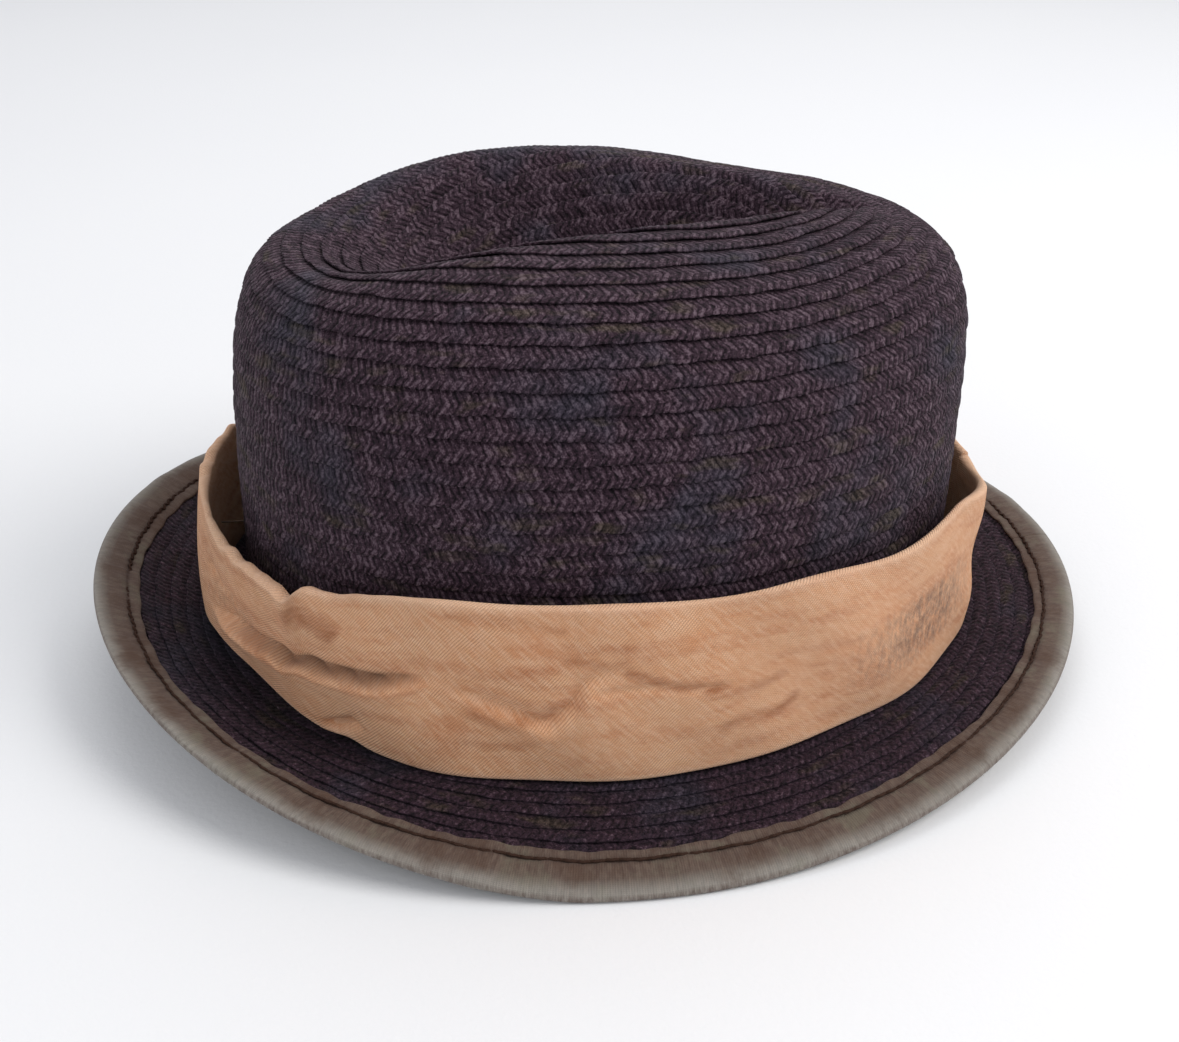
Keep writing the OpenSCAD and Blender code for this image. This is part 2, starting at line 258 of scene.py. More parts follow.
class Block:
    """The pressed shape. Angles run anticlockwise from the front, seen from above."""

    BRIM_CURL = 1.25  # 1 is a straight brim, and more bends it near the edge
    FLAT = 0.11  # where the brim's edge starts to rise, as a cosine
    POWER_BACK = 1.27  # how gently the rise starts at the back
    POWER_FRONT = 1.55  # and at the front
    SHOULDER_POWER = 8  # how suddenly the front and back shoulders start
    TEARDROP_POWER = 0.305  # a lower power makes the dent's back end blunter
    DENT_POWERS = (1.42, 1.6)  # how the dent deepens from its back end and from its point
    HEM = 0.003  # where the straw ends, in from the binding's fold
    TIP = 0.9999  # the last of the climb, where the lines from all round meet

    def __init__(self, size):
        self.size = size
        self.x = (size.brim_back - size.brim_front) / 2

    def half(self, z, a):
        """Half length and half width of the wall at the height z."""
        s = self.size
        lean = mix(s.lean_back, s.lean_front, (1 + np.cos(a)) / 2)
        return s.half_l - lean * (z - s.head_line), s.half_w - s.lean_sides * (z - s.head_line)

    def wall(self, a, out, z):
        """Points on the crown's wall, out metres outside the straw."""
        half_l, half_w = self.half(z, a)
        x = self.x + (half_l + out) * np.cos(a)
        y = (half_w + out) * np.sin(a) * (1 - self.size.egg * np.cos(a))
        return np.stack(np.broadcast_arrays(x, y, z), -1)

    def dent(self, x, y):
        """Depth of the dent at a place on the crown's top."""
        s = self.size
        along = np.clip((x + s.dent_back) / (s.dent_back + s.dent_front), 0, 1)
        half = s.dent_half_w * lobe(along, self.TEARDROP_POWER, 1)
        across = np.clip(np.abs(y) / np.maximum(half, 1e-9), 0, 1)
        return s.dent_depth * lobe(along, *self.DENT_POWERS) * (1 - across**2) ** 2

    def dome(self, a, climb):
        """Points on the crown above its wall: climb goes from 0 at the shoulder to 1 at the tip."""
        s = self.size
        shoulder = np.where(np.cos(a) > 0, s.shoulder_front, s.shoulder_back)
        power = mix(s.shoulder_side, shoulder, np.cos(a) ** self.SHOULDER_POWER)
        up = climb * math.pi / 2
        reach = (np.cos(up) ** power + np.sin(up) ** power) ** (-1 / power)
        rise = s.head_line + s.wall_h + (s.crown_h - s.wall_h) * reach * np.sin(up)
        half_l, half_w = self.half(rise, a)
        flat = reach * np.cos(up)
        x = (half_l - half_w + half_w * flat) * np.cos(a)
        y = half_w * flat * np.sin(a) * (1 - s.egg * np.cos(a))
        fall = s.crown_fall * x + s.crown_bow * (x / 0.1) ** 2
        z = rise - fall * reach * np.sin(up) - self.dent(x, y)
        return np.stack([self.x + x, y, z], -1)

    def crown(self, rows=720, columns=420):
        """The crown's outer face, evenly spread up each line from the head line to the tip."""
        s = self.size
        a = np.linspace(0, TURN, rows + 1)[:, None]
        z = np.linspace(s.head_line + s.straw / 2, s.head_line + s.wall_h, 60, endpoint=False)[None, :]
        wall = self.wall(a, 0, z)
        dome = self.dome(a, np.linspace(0, self.TIP, 700)[None, :])
        lines = np.concatenate([wall, dome], 1)
        share = np.linspace(0, 1, columns + 1)
        even = np.empty((rows + 1, columns + 1, 3))
        for i, line in enumerate(lines):
            far = lengths(line)
            for k in range(3):
                even[i, :, k] = np.interp(share * far[-1], far, line[:, k])
        return Surface(even)

    def edge_height(self, a):
        """Height of the middle of the brim's edge."""
        s = self.size
        back = np.maximum(0, (-np.cos(a) - self.FLAT) / (1 - self.FLAT)) ** self.POWER_BACK
        front = np.maximum(0, (np.cos(a) - self.FLAT) / (1 - self.FLAT)) ** self.POWER_FRONT
        return s.edge_z + s.rise_back * back + s.rise_front * front

    def reach(self, a):
        """Inner and outer ends of the brim at an angle, and its width."""
        s = self.size
        inner = self.wall(a, 0, s.head_line)[..., :2]
        long = s.half_l + (s.brim_front + s.brim_back) / 2
        wide = (s.half_w + s.brim_side) * (1 - s.brim_egg * np.cos(a))
        outer = np.stack([long * np.cos(a), wide * np.sin(a)], -1)
        return inner, outer, np.linalg.norm(outer - inner, axis=-1)

    def brim(self, a, inset, height):
        """Points on the brim, inset from its edge and height above its middle."""
        a, inset, height = np.broadcast_arrays(a, inset, height)
        inner, outer, width = self.reach(a)
        out = 1 - inset / width
        flat = inner + (outer - inner) * out[..., None]
        z = mix(self.size.head_line, self.edge_height(a), np.maximum(out, 0) ** self.BRIM_CURL)
        return np.concatenate([flat, (z + height)[..., None]], -1)

    def brim_top(self, rows=720, columns=120):
        """The brim's middle face from its hem in to the head line."""
        a = np.linspace(0, TURN, rows + 1)[:, None]
        width = self.reach(a)[2] + self.size.straw
        inset = mix(self.HEM, width, np.linspace(0, 1, columns + 1)[None, :])
        return Surface(self.brim(a, inset, 0))


# ---- meshes ----


def lay_grid(name, points, across, marks=None, loop=True):
    """Adds a grid and moves its corners to points[along, across]. Its UV map is in metres."""
    shape = points.shape[:2]
    rows, columns = shape[0] - 1, shape[1] - 1
    bpy.ops.object.select_all(action="DESELECT")
    bpy.ops.mesh.primitive_grid_add(x_subdivisions=rows, y_subdivisions=columns, size=2, calc_uvs=True)
    piece = bpy.context.object
    piece.name = piece.data.name = name
    mesh = piece.data
    co = np.empty(len(mesh.vertices) * 3, np.float32)
    mesh.vertices.foreach_get("co", co)
    i = np.rint((co[0::3] + 1) / 2 * rows).astype(int)
    j = np.rint((co[1::3] + 1) / 2 * columns).astype(int)
    mesh.vertices.foreach_set("co", points[i, j].astype(np.float32).ravel())
    corners = np.empty(len(mesh.loops), np.int32)
    mesh.loops.foreach_get("vertex_index", corners)
    uv = np.stack([np.broadcast_to(way, shape)[i, j] for way in across], -1)[corners]
    mesh.uv_layers.active.data.foreach_set("uv", uv.astype(np.float32).ravel())
    for mark, values in (marks or {}).items():
        layer = mesh.attributes.new(mark, "FLOAT", "POINT")
        layer.data.foreach_set("value", np.broadcast_to(values, shape)[i, j].astype(np.float32))
    mesh.update()
    bpy.ops.object.mode_set(mode="EDIT")
    bpy.ops.mesh.select_all(action="SELECT")
    if loop:
        bpy.ops.mesh.remove_doubles(threshold=0.000001)
        bpy.ops.mesh.fill_holes(sides=0)
        bpy.ops.mesh.normals_make_consistent(inside=False)
    bpy.ops.object.mode_set(mode="OBJECT")
    bpy.ops.object.shade_smooth()
    return piece


def thicken(piece, thickness, offset):
    """Gives a sheet its thickness with an applied Solidify modifier."""
    cloth = piece.modifiers.new("Thickness", "SOLIDIFY")
    cloth.thickness = thickness
    cloth.offset = offset
    cloth.use_even_offset = True
    bpy.ops.object.modifier_apply(modifier=cloth.name)


def tube(name, path, radius, sides=6, loop=True):
    """A thread of this radius along path[along, 3]."""
    ahead = np.roll(path, -1, 0) - np.roll(path, 1, 0)
    if loop:
        path = np.concatenate([path, path[:1]])
        ahead = np.concatenate([ahead, ahead[:1]])
    else:
        ahead[0], ahead[-1] = path[1] - path[0], path[-1] - path[-2]
    ahead /= np.linalg.norm(ahead, axis=1, keepdims=True)
    side = np.cross(ahead, (0, 0, 1))
    side /= np.linalg.norm(side, axis=1, keepdims=True)
    up = np.cross(side, ahead)
    turns = np.linspace(0, TURN, sides + 1)
    points = path[:, None] + radius * (
        np.cos(turns)[None, :, None] * side[:, None] + np.sin(turns)[None, :, None] * up[:, None]
    )
    return lay_grid(name, points, (lengths(path)[:, None], turns * radius))


def stand_for(piece, node):
    """Puts a piece on the hat's one body, in the place of a plain one."""
    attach(piece, "root")
    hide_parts(node)


# ---- finishes ----


class Value:
    """A number or colour in a finish. Sums on numbers add Math nodes."""

    def __init__(self, finish, socket):
        self.finish = finish
        self.socket = socket

    def __add__(self, other):
        return self.finish.sum("ADD", self, other)

    def __sub__(self, other):
        return self.finish.sum("SUBTRACT", self, other)

    def __rsub__(self, other):
        return self.finish.sum("SUBTRACT", other, self)

    def __mul__(self, other):
        return self.finish.sum("MULTIPLY", self, other)

    def __truediv__(self, other):
        return self.finish.sum("DIVIDE", self, other)

    __radd__ = __add__
    __rmul__ = __mul__


class Finish:
    """A material for one kind of piece."""

    def __init__(self, name, **constants):
        self.material = bpy.data.materials.new(name)
        self.material.use_nodes = True
        self.tree = self.material.node_tree
        self.shader = self.tree.nodes["Principled BSDF"]
        for socket, value in constants.items():
            self.feed(self.shader.inputs[socket.replace("_", " ")], value)

    def feed(self, socket, value):
        if isinstance(value, Value):
            self.tree.links.new(value.socket, socket)
        elif socket.type == "RGBA":
            socket.default_value = (*value[:3], 1)
        else:
            socket.default_value = value

    def node(self, kind, settings, inputs, output=0):
        """Adds a node of this kind, sets it up, then gives its inputs their values or links."""
        node = self.tree.nodes.new("ShaderNode" + kind)
        for name, value in settings.items():
            setattr(node, name, value)
        for name, value in inputs.items():
            self.feed(node.inputs[name], value)
        return Value(self, node.outputs[output])

    def sum(self, operation, *values):
        return self.node("Math", {"operation": operation}, dict(enumerate(values)))

    def clamp(self, value, low, high):
        """Goes from 0 where the value is low to 1 where it is high."""
        return self.node("MapRange", {}, {"Value": value, "From Min": low, "From Max": high})

    def blend(self, share, first, second):
        """Goes from the first colour to the second."""
        return self.node("Mix", {"data_type": "RGBA"}, {0: share, 6: first, 7: second}, 2)

    def layers(self, base, *layers):
        """Lays more colours over the base, each by its share."""
        for share, shade in layers:
            base = self.blend(share, base, shade)
        return base

    def point(self, x, y, z=0.0):
        return self.node("CombineXYZ", {}, {0: x, 1: y, 2: z})

    def place(self):
        """Object coordinates, in metres."""
        return self.node("TexCoord", {}, {}, "Object")

    def uv(self):
        """Metres along the piece and across it."""
        both = self.node("UVMap", {"uv_map": "UVMap"}, {})
        return [self.node("SeparateXYZ", {}, {0: both}, k) for k in (0, 1)]

    def mark(self, name):
        """A value kept on the piece's own points."""
        return self.node("Attribute", {"attribute_name": name}, {}, "Fac")

    def noise(self, vector, scale, detail=2.0, roughness=0.5):
        inputs = {"Vector": vector, "Scale": scale, "Detail": detail, "Roughness": roughness}
        return self.node("TexNoise", {}, inputs)

    def random(self, value):
        return self.node("TexWhiteNoise", {"noise_dimensions": "1D"}, {"W": value})

    def cushion(self, phase):
        """1 in the middle of each whole step of phase and 0 at its ends."""
        edge = self.sum("FRACT", phase) * 2 - 1
        return 1 - edge * edge

    def colour(self, value):
        self.feed(self.shader.inputs["Base Color"], value)

    def rough(self, value):
        self.feed(self.shader.inputs["Roughness"], value)

    def bump(self, height, distance, strength=1.0):
        inputs = {"Height": height, "Distance": distance, "Strength": strength}
        self.feed(self.shader.inputs["Normal"], self.node("Bump", {}, inputs))

    def on(self, *pieces):
        for piece in pieces:
            piece.data.materials.clear()
            piece.data.materials.append(self.material)


# Colours that a finish's own noise mixes in
# The first blue and the first brown are the dye colours in the painted shade of the straw's grooves; the
# second of each is the dye on the strands' lit backs
BLUE_IN_SHADE, BLUE = (0.004, 0.004, 0.009), (0.045, 0.05, 0.07)
BROWN_IN_SHADE, BROWN = (0.008, 0.005, 0.002), (0.085, 0.068, 0.036)
# The third colour below is painted shade in the twill's furrows
RUST, PALE_YARN, FURROW_SHADE = (0.43, 0.155, 0.062), (0.80, 0.53, 0.36), (0.27, 0.115, 0.055)
# The second colour below is painted shade along the band's main crease
# The third colour below is the pale of the band's faded folded edges, and also a painted highlight on
# them
GRIME, CREASE_SHADE, FADED_AND_HIGHLIGHT = (0.13, 0.085, 0.065), (0.08, 0.03, 0.015), (0.74, 0.53, 0.38)
# The second colour below is painted shade between the tape's ribs
TAPE_YARN, TAPE_FURROW_SHADE = (0.19, 0.145, 0.11), (0.028, 0.018, 0.014)
TAPE_BROWN, TAPE_OLIVE = (0.060, 0.030, 0.018), (0.13, 0.12, 0.085)
TAPE_SEAM, TAPE_WORN = (0.030, 0.014, 0.010), (0.33, 0.31, 0.28)


def straw_finish(name, plait=1.0):
    """Straw whose plait shows this strongly."""
    scene = bpy.context.scene
    braid, shades = scene.trilby_braid, scene.trilby_colours
    f = Finish(name, Sheen_Weight=0.03, Sheen_Roughness=0.5, Specular_IOR_Level=0.1)
    u, v = f.uv()
    place = f.place()
    lean = f.sum("ABSOLUTE", v - braid.turn) * braid.lean
    wander = (f.noise(place, 520, 3, 0.65) - 0.5) * 1.1
    phase = (u + lean) / braid.strand
    above = f.sum("GREATER_THAN", v, braid.turn)
    back = f.cushion(phase + wander)
    luck = f.random(f.sum("FLOOR", phase) + above * 0.37) - 0.5
    fibres = f.noise(f.point(phase * 4.5, v * 420), 1.0, 3, 0.75) - 0.5
    fuzz = f.noise(place, 2100, 3, 0.7) - 0.5
    dust = f.noise(place, 800, 2, 0.6) - 0.5
    # Painted shade and highlight: the strands' cushion shape darkens the grooves and lightens the backs,
    # while luck, fibres, fuzz and dust add tone that differs at random
    light = (back * 0.44 + luck * 0.34 + fibres * 1.2) * plait + fuzz * 1.8 + dust * 1.5
    # Where the dye has turned blue, and single lengths that it has left brown
    blue = f.clamp(f.noise(place, 40, 3), 0.52, 0.7) * 0.55
    brown = f.clamp(f.noise(f.point(u * 70, v * 170), 1.0, 3), 0.58, 0.7) * 0.5
    # The blends below paint that shade and highlight into the colour, and darken the blue and brown dye
    # by the same painted shade
    lit = f.clamp(light, -0.2, 0.8)
    base = f.layers(
        f.blend(f.clamp(light, -0.2, 0.6), shades.straw_groove_shade, shades.straw),
        (f.clamp(light, 0.4, 0.95), shades.straw_sheen),
        (blue, f.blend(lit, BLUE_IN_SHADE, BLUE)),
        (brown, f.blend(lit, BROWN_IN_SHADE, BROWN)),
    )
    f.colour(base)
    f.rough(0.8 - back * 0.16)
    f.bump((back + fibres) * (0.6 * plait) + fuzz * 0.6, 0.0004, 0.8)
    return f


def twill_height(f, u, v, pitch, slope):
    """Diagonal ribs of twill, each one broken up by the yarns that cross it."""
    rise, run = math.sin(math.radians(slope)), math.cos(math.radians(slope))
    across = (v * run - u * rise) / pitch
    along = (u * run + v * rise) / (pitch * 0.8) + f.sum("FLOOR", across) * 0.5
    return f.cushion(across) * 0.7 + f.cushion(across) * f.cushion(along) * 0.5


def twill_finish(name):
    """The band's washed twill, with its stains and scuffs, painted shade in its furrows and along its
    main crease, and faded edges with a painted highlight.
    """
    shades = bpy.context.scene.trilby_colours
    f = Finish(name, Sheen_Weight=0.08, Sheen_Roughness=0.5, Specular_IOR_Level=0.15)
    u, v = f.uv()
    place = f.place()
    ribs = twill_height(f, u, v, 0.00068, 50)
    slub = f.noise(f.point((u + v) * 700, (v - u) * 120), 1.0, 3, 0.65)
    wash = f.noise(place, 42, 4, 0.6)
    cloud = f.noise(f.point(u * 55, v * 170), 1.0, 4, 0.65)
    rusty = f.clamp(f.noise(f.point(u * 36, v * 150, 3), 1.0, 4, 0.65), 0.48, 0.72)
    # Painted shade in the furrows between the twill's ribs
    furrow_shade = (1 - f.clamp(ribs, 0, 0.9)) * f.clamp(wash + cloud, 0.8, 1.2)
    streaks = f.noise(f.point(u * 150, v * 480), 1.0, 4, 0.7)
    scrape = f.noise(f.point(u * 520, v * 190), 1.0, 4, 0.75)
    base = f.layers(
        f.blend(f.clamp(wash * 0.6 + cloud * 0.8, 0.5, 0.92), shades.twill, shades.twill_pale),
        (rusty * 0.75, RUST),
        (f.clamp(slub, 0.42, 0.75) * 0.55, PALE_YARN),
        (furrow_shade * 0.6, FURROW_SHADE),
        (f.clamp(f.mark("stain") * (streaks * 2.2 - 0.3), 0.1, 0.8) * 0.75, shades.twill_stain),
        (f.clamp(f.mark("grime") * (scrape * 4.0 - 1.4), 0.1, 0.9) * 0.7, GRIME),
        # Painted shade along the main crease
        (f.mark("crease_shade") * 0.85, CREASE_SHADE),
        # Faded folded edges, partly a painted highlight where the cloth rolls over
        (f.mark("faded") * 0.4, FADED_AND_HIGHLIGHT),
    )
    f.colour(base)
    f.rough(0.86 - slub * 0.12)
    f.bump(ribs + slub * 0.6 + cloud * 1.2, 0.00024, 0.85)
    return f


def tape_finish(name):
    """The binding's ribbed tape, mottled with wear."""
    shades = bpy.context.scene.trilby_colours
    f = Finish(name, Sheen_Weight=0.06, Sheen_Roughness=0.5, Specular_IOR_Level=0.2)
    u, v = f.uv()
    place = f.place()
    ribs = f.cushion(u / 0.00062)
    picks = f.cushion(v / 0.0004)
    slub = f.noise(f.point(u * 900, v * 260), 1.0, 3, 0.7)
    patches = f.noise(place, 75, 4, 0.65)
    base = f.layers(
        f.blend(f.mark("under"), shades.tape, shades.tape_low),
        (f.clamp(slub, 0.4, 0.75) * 0.45, TAPE_YARN),
        # Painted shade between the tape's ribs
        ((1 - ribs) * 0.15, TAPE_FURROW_SHADE),
        (f.clamp(patches, 0.5, 0.66) * 0.6, TAPE_BROWN),
        (f.clamp(patches, 0.46, 0.34) * 0.5, TAPE_OLIVE),
        (f.mark("seam") * 0.7, TAPE_SEAM),
        (f.mark("faded") * f.clamp(slub, 0.2, 0.7) * 0.6, TAPE_WORN),
    )
    f.colour(base)
    f.rough(0.86 - slub * 0.14)
    f.bump(ribs * 0.3 + ribs * picks * 0.3 + slub * 0.9 + patches * 2.0, 0.0002, 0.7)
    return f


def thread_finish(name, shade, paler):
    """Twisted sewing thread."""
    f = Finish(name, Specular_IOR_Level=0.12)
    u, v = f.uv()
    twist = f.cushion((u + v * 1.4) / 0.00042)
    fuzz = f.noise(f.place(), 2600, 2)
    # Painted highlight on the crests of the twist, mixed with fuzz of random tone
    f.colour(f.blend(twist * 0.6 + f.clamp(fuzz, 0.4, 0.7) * 0.3, shade, paler))
    f.rough(0.8 - twist * 0.15)
    f.bump(twist + fuzz * 0.4, 0.0001, 0.7)
    return f


def cloth_finish(name, shade, paler, pitch, slope, rib_highlight):
    """Plain-coloured twill or woven cloth, a little worn, with a painted highlight on its ribs."""
    f = Finish(name, Sheen_Weight=0.15, Specular_IOR_Level=0.3)
    u, v = f.uv()
    ribs = twill_height(f, u, v, pitch, slope)
    slub = f.noise(f.point(u * 800, v * 300), 1.0, 3, 0.6)
    worn = f.noise(f.place(), 45, 3, 0.6)
    # Painted highlight: the rib tops are painted paler than the furrows; the worn patches below are real
    # wear
    base = f.blend(f.clamp(ribs, 0.1, 1.1) * rib_highlight, shade, paler)
    base = f.blend(f.clamp(worn, 0.45, 0.75) * 0.4, base, paler)
    f.colour(base)
    f.rough(0.82 - f.clamp(worn, 0.4, 0.7) * 0.22 - slub * 0.1)
    f.bump(ribs + slub * 0.4, pitch * 0.3, 0.7)
    return f


def metal_finish(name, shade, scale):
    """Drawn or pressed metal with fine lengthwise scratches."""
    f = Finish(name, Metallic=1.0)
    scratch = f.noise(f.place(), scale, 4, 0.7)
    f.colour(f.blend(scratch, [0.75 * c for c in shade], shade))
    f.rough(0.26 + scratch * 0.25)
    f.bump(scratch, 0.00004, 0.5)
    return f


def knot_finish(name, shade, paler):
    """Thread on the frame's own stitches, which have no map of their own."""
    f = Finish(name, Sheen_Weight=0.2, Specular_IOR_Level=0.35)
    twist = f.noise(f.place(), 1800, 2)
    f.colour(f.blend(twist, shade, paler))
    f.rough(0.72 + twist * 0.16)
    f.bump(twist, 0.0001, 0.6)
    return f


# ---- straw ----


class Braid:
    """One braid, wound over a surface in lapped rows from the lowest or outermost row inwards."""

    SHELL_FACES = 94000  # faces in one length of braid, half of its triangles
    THICK = 0.0009
    BULGE = 0.0003  # how far a row stands out along its middle
    UNEVEN = 0.00012  # how far it rises and falls along its length
    # Across a row: q is 0 at its outer selvedge and 1 where the next row starts to cover it
    OUTSIDE = (0.0, 0.07, 0.18, 0.31, 0.45, 0.59, 0.73, 0.86, 0.97, 1.12, 1.4)
    INSIDE = (1.36, 0.9, 0.45, 0.05)

    def __init__(self, surface, rows, step_up, sink, waver):
        self.surface = surface
        self.rows = rows
        self.pitch = surface.side_length() / rows
        self.step_up = step_up
        self.sink = sink
        self.waver = waver
        self.braid = bpy.context.scene.trilby_braid
        self.turns = np.linspace(0, rows, rows * 240 + 1)
        middle = surface.at(math.pi + TURN * self.turns, (self.turns + 0.5) / rows)[0]
        self.far = lengths(middle)

    def sections(self, first, last, step):
        """Points and UVs of the braid's closed section, each step from turn first to turn last."""
        start, end = np.interp([first, last], self.turns, self.far)
        u = np.linspace(start, end, max(3, round((end - start) / step)))[:, None]
        turn = np.interp(u, self.far, self.turns)
        q = np.array(self.OUTSIDE + self.INSIDE + self.OUTSIDE[:1])[None, :]
        face = np.array([1] * len(self.OUTSIDE) + [0] * len(self.INSIDE) + [1])[None, :]
        q, face, u, turn = np.broadcast_arrays(q, face, u, turn)
        v = q * self.pitch
        bulge = self.BULGE * np.sin(math.pi * np.clip(q, 0, 1))
        lift = self.step_up * (0.92 - q) + bulge - self.sink
        lift = lift + self.UNEVEN * ripple(u, (0.083, 0.047, 0.019))
        thick = self.THICK * ease(q, -0.35, 0.3) * ease(1.75 - q, 0, 0.5)
        lift = np.where(face == 1, lift, lift - thick)
        lean = self.braid.lean * np.abs(v - self.braid.turn)
        phase = (u + lean) / self.braid.strand
        luck = chance(np.floor(phase) + 0.5 * (v > self.braid.turn))
        back = (1 - (2 * (phase % 1) - 1) ** 2) * (0.65 + 0.5 * luck)
        shown = ease(1.15 - q, 0, 0.15) * np.where(face == 1, 1.0, 0.4)
        lift = lift + self.braid.strand_relief * (back - 0.6) * shown
        selvedge = np.exp(-q / 0.09)
        across = q + self.waver * ripple(u, (0.043, 0.0237, 0.0131, 0.0077))
        across = across - selvedge * 0.045 * (back - 0.5)
        point, normal = self.surface.at(math.pi + TURN * turn, (turn + across) / self.rows)
        return point + normal * lift[..., None], (u, v)

    def lay(self, name, first, last, step):
        """Makes the braid from turn first to turn last, in as many lengths as its faces need."""
        start, end = np.interp([first, last], self.turns, self.far)
        around = len(self.OUTSIDE) + len(self.INSIDE)
        share = math.ceil((end - start) / step * around / self.SHELL_FACES)
        ends = np.interp(np.linspace(start, end, share + 1), self.far, self.turns)
        pieces = []
        for k in range(share):
            points, across = self.sections(ends[k], ends[k + 1], step)
            pieces.append(lay_grid(f"{name}_{k + 1}", points, across))
        return pieces


def finish_braid(pieces, node, finish):
    finish.on(*pieces)
    for piece in pieces:
        stand_for(piece, node)


class TRILBY_OT_crown(bpy.types.Operator):
    """Winds the crown from one braid, up the wall, over the shoulder and down into the dent"""

    bl_idname = "trilby.crown"
    bl_label = "Crown"

    SINK = 0.00045  # how far the rows are let in, so that they stay within the straw's outer face
    WAVER = 0.04  # how far the sewing strays across a row, as a share of it
    UNWOUND = 0.4  # the last of the turns, which would be too tight

    def execute(self, context):
        braid = context.scene.trilby_braid
        surface = Block(context.scene.trilby_block).crown()
        rows = braid.crown_rows
        wound = Braid(surface, rows, braid.crown_step_up, self.SINK, self.WAVER)
        covered = wound.lay("crown_braid_foot", 0, braid.hidden_rows, braid.hidden_step)
        shown = wound.lay("crown_braid", braid.hidden_rows, rows - self.UNWOUND, braid.step)
        finish_braid(covered + shown, "crown_braid", straw_finish("straw_braid"))
        return {"FINISHED"}


class TRILBY_OT_brim(bpy.types.Operator):
    """Winds the brim from the same braid, in closer rows"""

    bl_idname = "trilby.brim"
    bl_label = "Brim"

    WAVER = 0.05
    UNWOUND = 0.7

    def execute(self, context):
        braid = context.scene.trilby_braid
        surface = Block(context.scene.trilby_block).brim_top()
        rows = braid.brim_rows
        wound = Braid(surface, rows, braid.brim_step_up, 0, self.WAVER)
        laid = wound.lay("brim_braid", 0, rows - self.UNWOUND, braid.step)
        finish_braid(laid, "brim_braid", straw_finish("flat_straw_braid", 0.45))
        return {"FINISHED"}


# ---- binding ----


class TRILBY_OT_binding(bpy.types.Operator):
    """Folds the tape over the brim's edge and sews it with one line of stitches"""

    bl_idname = "trilby.binding"
    bl_label = "Binding"

    # The top half of the tape's section, from its inner edge out to the fold: inset and height in mm
    TOP = (
        (11.0, 0.95), (11.15, 1.2), (11.05, 1.5), (10.6, 1.66), (9.7, 1.72), (9.0, 1.66),
        (8.6, 1.52), (8.4, 1.47), (8.2, 1.52), (7.8, 1.68), (6.9, 1.8), (5.4, 1.84), (3.9, 1.8),
        (2.5, 1.68), (1.4, 1.45), (0.6, 1.08), (0.15, 0.6), (0.0, 0.2),
    )
    INNER = ((10.6, 0.95), (6.0, 0.95), (2.4, 0.92), (1.3, 0.55))
    INNER_FACE = 0.00096  # the tape's inner face lies below this height
    LAP = (184, 184.5, 189, 194)  # degrees where the tape's end starts to lap its beginning, and ends

    def execute(self, context):
        trim = context.scene.trilby_trim
        block = Block(context.scene.trilby_block)
        under = [(s, -h) for s, h in self.TOP[::-1]]
        inner_under = [(s, -h) for s, h in self.INNER]
        section = np.array([*self.TOP, *under, *inner_under, *self.INNER[::-1], self.TOP[0]]) * MM
        a = np.linspace(0, TURN, 1501)[:, None]
        u = lengths(block.brim(a[:, 0], 0, 0))[:, None]
        stitches = round(u[-1, 0] / trim.stitch)
        self.sew(block, trim, stitches)
        s, h = section[None, :, 0], section[None, :, 1]
        seam = np.exp(-(((s - trim.stitch_inset) / 0.0013) ** 2))
        pull = np.cos(math.pi * stitches * a / TURN) ** 8
        puff = 0.00022 * ripple(u, (0.071, 0.029, 0.0173), 1.0) - 0.0002 * seam * pull
        slack = 0.00016 * ripple(u, (0.0121, 0.0067), 2.0) * np.clip(s / trim.binding_w, 0, 1)
        lap = 0.0005 * ease(np.degrees(a), *self.LAP[:2]) * (1 - ease(np.degrees(a), *self.LAP[2:]))
        outside = np.abs(h) > self.INNER_FACE
        grow = np.where(outside, puff + slack + lap, 0) * np.sign(h)
        drift = 0.0003 * ripple(u, (0.053, 0.031, 0.011), 0.5) * ease(s, 0.008, 0.011)
        points = block.brim(a, s + drift, h + grow)
        marks = {
            "under": np.maximum(ease(-h, -0.0012, 0.0008), 1 - ease(s, 0.0012, 0.0046)) * outside,
            "faded": np.exp(-((s / 0.0016) ** 2)),
            "seam": np.exp(-(((s - trim.stitch_inset) / 0.0005) ** 2)) * outside,
        }
        piece = lay_grid("edge_binding", points, (u, lengths(section)), marks)
        tape_finish("ribbed_tape").on(piece)
        stand_for(piece, "edge_binding")
        return {"FINISHED"}

    def sew(self, block, trim, stitches):
        """The needle thread on top and the bobbin thread below, dipping into the tape at each hole."""
        shades = bpy.context.scene.trilby_colours
        a = np.linspace(0, TURN, stitches * 9, endpoint=False)
        dip = np.abs(np.cos(math.pi * stitches * a / TURN)) ** 5
        sway = 0.00016 * np.sin(a * 61) + 0.00022 * np.cos(TURN * stitches * a / TURN)
        dark = thread_finish("dark_thread", shades.seam_thread, (0.055, 0.028, 0.018))
        for side, name in ((1, "binding_thread_top"), (-1, "binding_thread_under")):
            path = block.brim(a, trim.stitch_inset + sway, side * (0.00188 - 0.00055 * dip))
            piece = tube(name, path, trim.thread)
            dark.on(piece)
            stand_for(piece, name)


# ---- hat band ----


